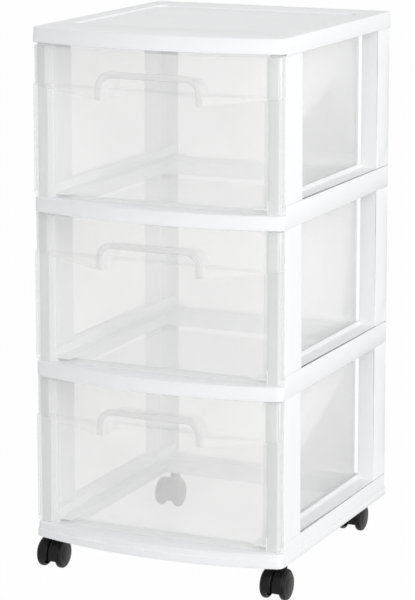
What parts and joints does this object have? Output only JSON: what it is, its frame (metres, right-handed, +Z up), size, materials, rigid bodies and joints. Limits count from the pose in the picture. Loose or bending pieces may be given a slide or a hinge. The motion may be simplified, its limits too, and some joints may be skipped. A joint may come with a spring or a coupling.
{
  "type": "plastic drawer tower",
  "caption": "Upright tower of clear pull-out drawers in stacked white plastic frames with a bowed front, a recessed top and twin-wheel swivel casters.",
  "frame": {"origin": "on the floor, under the middle of the overall box", "axes": "+X to the right, +Y to the back, away from the bowed drawer fronts, +Z up"},
  "size_m": [0.33, 0.371, 0.6625],
  "materials": {
    "white_moulding": "satin injection-moulded white polypropylene",
    "clear_moulding": "glossy, slightly hazy clear polystyrene",
    "black_nylon": "satin moulded black nylon",
    "black_wheel": "smooth moulded black nylon with a slight sheen",
    "zinc_plated_steel": "bright zinc plating on turned steel"
  },
  "bodies": {
    "tower": {"top_panel": "white_moulding", "lower_frame": "white_moulding", "middle_frame": "white_moulding", "upper_frame": "white_moulding", "stem_front_left": "zinc_plated_steel", "stem_front_right": "zinc_plated_steel", "stem_rear_left": "zinc_plated_steel", "stem_rear_right": "zinc_plated_steel", "stem_grip_rings": "zinc_plated_steel"},
    "lower_drawer": {"lower_drawer": "clear_moulding"},
    "middle_drawer": {"middle_drawer": "clear_moulding"},
    "upper_drawer": {"upper_drawer": "clear_moulding"},
    "caster_front_left": {"hood_front_left": "black_nylon", "axle_front_left": "zinc_plated_steel"},
    "caster_front_right": {"hood_front_right": "black_nylon", "axle_front_right": "zinc_plated_steel"},
    "caster_rear_left": {"hood_rear_left": "black_nylon", "axle_rear_left": "zinc_plated_steel"},
    "caster_rear_right": {"hood_rear_right": "black_nylon", "axle_rear_right": "zinc_plated_steel"},
    "wheel_front_left_outer": {"wheel_front_left_outer": "black_wheel"},
    "wheel_front_left_inner": {"wheel_front_left_inner": "black_wheel"},
    "wheel_front_right_outer": {"wheel_front_right_outer": "black_wheel"},
    "wheel_front_right_inner": {"wheel_front_right_inner": "black_wheel"},
    "wheel_rear_left_outer": {"wheel_rear_left_outer": "black_wheel"},
    "wheel_rear_left_inner": {"wheel_rear_left_inner": "black_wheel"},
    "wheel_rear_right_outer": {"wheel_rear_right_outer": "black_wheel"},
    "wheel_rear_right_inner": {"wheel_rear_right_inner": "black_wheel"}
  },
  "joints": [
    {"name": "lower_drawer_slide", "type": "slide", "parent": "tower", "child": "lower_drawer", "axis": [0, -1, 0], "range_m": [0, 0.26]},
    {"name": "middle_drawer_slide", "type": "slide", "parent": "tower", "child": "middle_drawer", "axis": [0, -1, 0], "range_m": [0, 0.26]},
    {"name": "upper_drawer_slide", "type": "slide", "parent": "tower", "child": "upper_drawer", "axis": [0, -1, 0], "range_m": [0, 0.26]},
    {"name": "caster_front_left_swivel", "type": "hinge", "parent": "tower", "child": "caster_front_left", "pos_m": [-0.1475, -0.1265, 0.0345], "axis": [0, 0, 1], "continuous": true},
    {"name": "caster_front_right_swivel", "type": "hinge", "parent": "tower", "child": "caster_front_right", "pos_m": [0.1475, -0.1265, 0.0345], "axis": [0, 0, 1], "continuous": true},
    {"name": "caster_rear_left_swivel", "type": "hinge", "parent": "tower", "child": "caster_rear_left", "pos_m": [-0.1285, 0.166, 0.0345], "axis": [0, 0, 1], "continuous": true},
    {"name": "caster_rear_right_swivel", "type": "hinge", "parent": "tower", "child": "caster_rear_right", "pos_m": [0.1285, 0.166, 0.0345], "axis": [0, 0, 1], "continuous": true},
    {"name": "wheel_front_left_outer_spin", "type": "hinge", "parent": "caster_front_left", "child": "wheel_front_left_outer", "pos_m": [-0.1595, -0.1415, 0.0175], "axis": [1, 0, 0], "continuous": true},
    {"name": "wheel_front_left_inner_spin", "type": "hinge", "parent": "caster_front_left", "child": "wheel_front_left_inner", "pos_m": [-0.1355, -0.1415, 0.0175], "axis": [1, 0, 0], "continuous": true},
    {"name": "wheel_front_right_outer_spin", "type": "hinge", "parent": "caster_front_right", "child": "wheel_front_right_outer", "pos_m": [0.1595, -0.1415, 0.0175], "axis": [1, 0, 0], "continuous": true},
    {"name": "wheel_front_right_inner_spin", "type": "hinge", "parent": "caster_front_right", "child": "wheel_front_right_inner", "pos_m": [0.1355, -0.1415, 0.0175], "axis": [1, 0, 0], "continuous": true},
    {"name": "wheel_rear_left_outer_spin", "type": "hinge", "parent": "caster_rear_left", "child": "wheel_rear_left_outer", "pos_m": [-0.1405, 0.151, 0.0175], "axis": [1, 0, 0], "continuous": true},
    {"name": "wheel_rear_left_inner_spin", "type": "hinge", "parent": "caster_rear_left", "child": "wheel_rear_left_inner", "pos_m": [-0.1165, 0.151, 0.0175], "axis": [1, 0, 0], "continuous": true},
    {"name": "wheel_rear_right_outer_spin", "type": "hinge", "parent": "caster_rear_right", "child": "wheel_rear_right_outer", "pos_m": [0.1405, 0.151, 0.0175], "axis": [1, 0, 0], "continuous": true},
    {"name": "wheel_rear_right_inner_spin", "type": "hinge", "parent": "caster_rear_right", "child": "wheel_rear_right_inner", "pos_m": [0.1165, 0.151, 0.0175], "axis": [1, 0, 0], "continuous": true}
  ]
}
